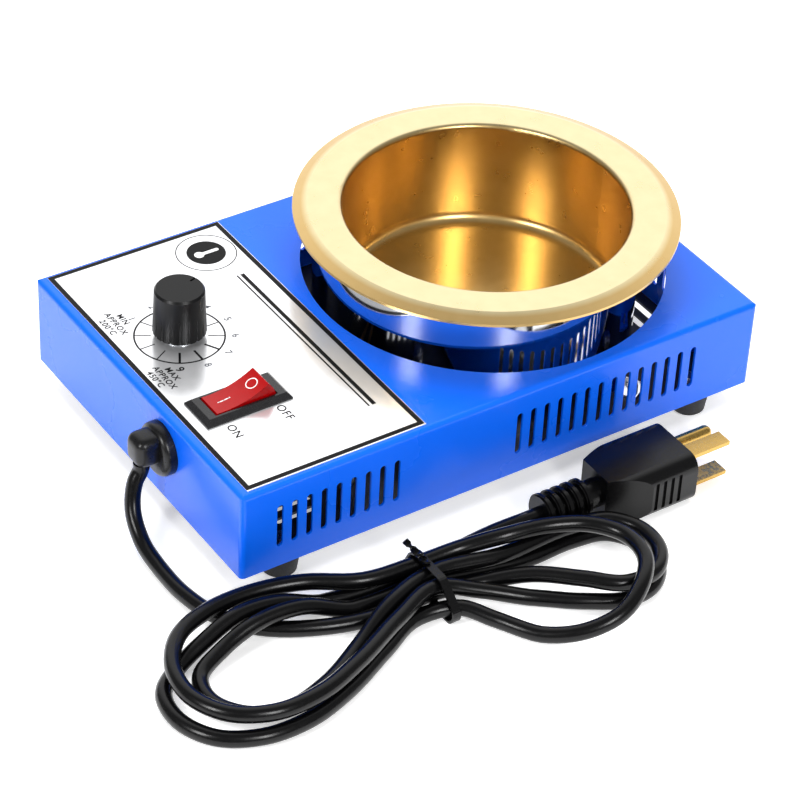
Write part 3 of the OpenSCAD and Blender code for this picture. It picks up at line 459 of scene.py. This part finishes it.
BORDER = 1.8 * MM
LEFT, RIGHT = LABEL_LOW.x + 0.06 * MM, LABEL_HIGH.x - 0.2 * MM
FRONT, BACK = LABEL_LOW.y + 0.5 * MM, LABEL_HIGH.y - 0.06 * MM
bm = bmesh.new()
for x in (LEFT + BORDER / 2, RIGHT - BORDER / 2):
    plate(bm, rectangle((x, (FRONT + BACK) / 2), BORDER, BACK - FRONT), PRINT_LOW, PRINT_HIGH)
for y in (FRONT + BORDER / 2, BACK - BORDER / 2):
    plate(bm, rectangle(((LEFT + RIGHT) / 2, y), RIGHT - LEFT - 2 * BORDER, BORDER),
          PRINT_LOW, PRINT_HIGH)
ink("label_border", bm)

DIAL_RING, LINE_START = 15.3, 9.6
HEAVY_LINES = (240, 270, 300)
dial_centre = (DIAL.x, DIAL.y, 0)
ink("dial_ring", ink_ring(dial_centre, DIAL_RING, 0.62))
for step in range(12):
    angle = 30 * step
    width = 0.8 if angle in HEAVY_LINES else 0.42
    bm = plate(bmesh.new(), rectangle(((LINE_START + DIAL_RING) / 2 * MM, 0),
                                      (DIAL_RING - LINE_START) * MM, width * MM),
               PRINT_LOW, PRINT_HIGH)
    bmesh.ops.transform(bm, verts=bm.verts, matrix=Matrix.Translation(dial_centre)
                        @ Matrix.Rotation(math.radians(angle), 4, "Z"))
    ink(f"dial_line_{angle}", bm)

NUMBER_RING = 18.7
for number in range(1, 10):
    angle = math.radians(150 - 30 * number)
    capital, look, weight = (3.0, print_black, 0.08) if number == 9 else (2.6, print_grey, 0.05)
    words(f"dial_number_{number}", str(number), DIAL.x / MM + NUMBER_RING * math.cos(angle),
          DIAL.y / MM + NUMBER_RING * math.sin(angle), capital, look, weight)

# Each row has a name, the text, its middle (x, y), the height of its capitals and its weight.
LETTERING = (
    ("least", "MIN", -90.0, 32.6, 2.3, 0.07),
    ("least_about", "APPROX", -93.3, 31.6, 2.3, 0.07),
    ("least_heat", "200°C", -96.6, 31.2, 2.3, 0.07),
    ("most", "MAX", -90.7, -1.8, 2.3, 0.07),
    ("most_about", "APPROX", -93.9, -2.3, 2.3, 0.07),
    ("most_heat", "450°C", -97.0, -1.6, 2.3, 0.07),
    ("on", "ON", -88.5, -38.2, 3.1, 0.05),
    ("off", "OFF", -69.2, -37.9, 3.1, 0.05))
for name, text, x, y, capital, weight in LETTERING:
    words("word_" + name, text, x, y, capital, weight=weight)

RULE_MIDDLE, RULE_LENGTH = -7, 84
for name, x, width in (("rule_bold", -41.6, 1.5), ("rule_fine", -43.6, 0.6)):
    ink(name, plate(bmesh.new(), rectangle((x * MM, RULE_MIDDLE * MM), width * MM,
                                           RULE_LENGTH * MM), PRINT_LOW, PRINT_HIGH))

BADGE = (-45.9, 52.0)
BADGE_RING, BADGE_DISC = 10.6, 6.9
STEM_HALF, STEM_TIP, STEM_FOOT = 0.75, 4.2, -1.2
BULB, BULB_R = (-2.8, 0), 1.75
badge_centre = (BADGE[0] * MM, BADGE[1] * MM, 0)
ink("badge_ring", ink_ring(badge_centre, BADGE_RING, 0.36))
ink("badge_disc", lathe([(0, PRINT_LOW / MM), (BADGE_DISC, PRINT_LOW / MM),
                         (BADGE_DISC, PRINT_HIGH / MM), (0, PRINT_HIGH / MM)],
                        Vector(badge_centre), 96))
thermometer = ([(STEM_FOOT, STEM_HALF)] + arc((STEM_TIP, 0), STEM_HALF, 90, -90)
               + [(STEM_FOOT, -STEM_HALF)] + arc(BULB, BULB_R, -25, -335, 24))
bm = plate(bmesh.new(), [((BADGE[0] + dx) * MM, (BADGE[1] + dy) * MM) for dx, dy in thermometer],
           PRINT_HIGH, PRINT_HIGH + INK)
ink("badge_thermometer", bm, white_print)

# %% [markdown]
# ## Marks on the rocker
# The bar and the ring lie on the rocker's hollow top, and tip with it. The top sinks by
# ROCKER_DIP between its two corners.

# %% Rocker marks
ROCKER_TIP = math.radians(14)
ROCKER_CORNER = (9.995, 5.887)
ROCKER_DIP = 1.6
PIVOT_Z = LABEL_HIGH.z / MM - 0.7
MARK_LOW, MARK_HIGH = 0.004, 0.03
BAR_START, BAR_LENGTH, BAR_HALF, BAR_STEPS = -7, 4.7, 0.22, 8
RING_X, RING_IN, RING_OUT = 6.2, 1.8, 2.15


def on_rocker(bm):
    """Carries a flat mark from (along, across, lift) in mm to the rocker's top."""
    for vertex in bm.verts:
        along, across, lift = vertex.co
        top = ROCKER_CORNER[1] - ROCKER_DIP * (1 - (along / ROCKER_CORNER[0]) ** 2) + lift
        vertex.co = (SWITCH.x + (along * math.cos(ROCKER_TIP) - top * math.sin(ROCKER_TIP)) * MM,
                     SWITCH.y + across * MM,
                     (PIVOT_Z + along * math.sin(ROCKER_TIP) + top * math.cos(ROCKER_TIP)) * MM)
    return bm


# The bar is cut in short steps, so that it can bend with the hollow.
bm = bmesh.new()
for k in range(BAR_STEPS):
    low, high = (BAR_START + BAR_LENGTH * n / BAR_STEPS for n in (k, k + 1))
    plate(bm, [(low, -BAR_HALF), (high, -BAR_HALF), (high, BAR_HALF), (low, BAR_HALF)],
          MARK_LOW, MARK_HIGH)
bmesh.ops.remove_doubles(bm, verts=bm.verts, dist=1e-4)
from_bmesh("rocker_bar", on_rocker(bm), white_print, body="rocker", slot="red_plastic")
bm = lathe([(r / MM, z / MM) for r, z in ((RING_IN, MARK_LOW), (RING_OUT, MARK_LOW),
                                          (RING_OUT, MARK_HIGH), (RING_IN, MARK_HIGH))],
           Vector((RING_X, 0, 0)), 48)
from_bmesh("rocker_ring", on_rocker(bm), white_print, body="rocker", slot="red_plastic")

# %% [markdown]
# ## Light
# The bench is white and the light soft: a broad lamp above, and two tall lamps, to the left
# and in front, that the pot mirrors. The world adds light, most of it from behind.

# %% Light
scene = bpy.context.scene
scene.view_settings.view_transform = "Standard"


def area_light(name, place, aim, size, power, mirrored=True):
    """Rectangular lamp that faces a point. Shiny pieces show it where it is mirrored."""
    lamp = bpy.data.lights.new(name, "AREA")
    lamp.shape = "RECTANGLE"
    lamp.size, lamp.size_y = size
    lamp.energy = power
    holder = bpy.data.objects.new(name, lamp)
    holder.visible_glossy = mirrored
    holder.location = place
    holder.rotation_euler = (Vector(aim) - Vector(place)).to_track_quat("-Z", "Y").to_euler()
    bpy.context.collection.objects.link(holder)


POT_AIM, TALL_LAMP, TALL_POWER = (0.03, 0, 0.03), (0.2, 0.4), 5
area_light("top_lamp", (0.1, 0.25, 0.95), (0.02, 0, 0), (0.8, 0.6), 7.5, mirrored=False)
area_light("left_lamp", (-0.88, -0.2, 0.62), POT_AIM, TALL_LAMP, TALL_POWER)
area_light("front_lamp", (-0.14, -0.9, 0.62), POT_AIM, TALL_LAMP, TALL_POWER)

# The world is white where the camera looks at it. Its light is strongest from behind, and
# WORLD_GLOW gives its strength there and elsewhere, by the cosine to that direction.
TOWARDS_BACK = (0.50, 0.707, 0.5)
WORLD_GLOW = (("From Min", 0.55), ("From Max", 0.93), ("To Min", 0.32), ("To Max", 1.5))
world = bpy.data.worlds.new("studio")
scene.world = world
world.use_nodes = True
tree = world.node_tree
backdrop = tree.nodes["Background"]
heading = tree.nodes.new("ShaderNodeTexCoord").outputs["Generated"]
facing = tree.nodes.new("ShaderNodeVectorMath")
facing.operation = "DOT_PRODUCT"
facing.inputs[1].default_value = TOWARDS_BACK
tree.links.new(heading, facing.inputs[0])
glow = tree.nodes.new("ShaderNodeMapRange")
glow.interpolation_type = "SMOOTHSTEP"
tree.links.new(facing.outputs["Value"], glow.inputs["Value"])
for key, value in WORLD_GLOW:
    glow.inputs[key].default_value = value
seen = tree.nodes.new("ShaderNodeMix")
tree.links.new(tree.nodes.new("ShaderNodeLightPath").outputs["Is Camera Ray"], seen.inputs[0])
tree.links.new(glow.outputs[0], seen.inputs[2])
seen.inputs[3].default_value = 1
tree.links.new(seen.outputs[0], backdrop.inputs["Strength"])
backdrop.inputs["Color"].default_value = (1, 1, 1, 1)

# The floor is white too. It glows, so that only the deepest shadows tint it.
FLOOR_HALF, FLOOR_Z, FLOOR_GLOW = 2.5, -0.0002, 0.45
floor_look = Look("studio_floor", Roughness=0.9)
white = floor_look.mix(floor_look.noise(4), linear(250, 250, 250), linear(253, 253, 253))
floor_look.set(floor_look.shader, "Base_Color", white)
floor_look.set(floor_look.shader, "Emission_Color", white)
floor_look.set(floor_look.shader, "Emission_Strength", FLOOR_GLOW)
bm = bmesh.new()
bmesh.ops.create_grid(bm, x_segments=8, y_segments=8, size=FLOOR_HALF)
bmesh.ops.translate(bm, vec=(0, 0, FLOOR_Z), verts=bm.verts)
floor_mesh = bpy.data.meshes.new("studio_floor")
bm.to_mesh(floor_mesh)
bm.free()
floor = bpy.data.objects.new("studio_floor", floor_mesh)
floor_mesh.materials.append(floor_look.material)
bpy.context.collection.objects.link(floor)
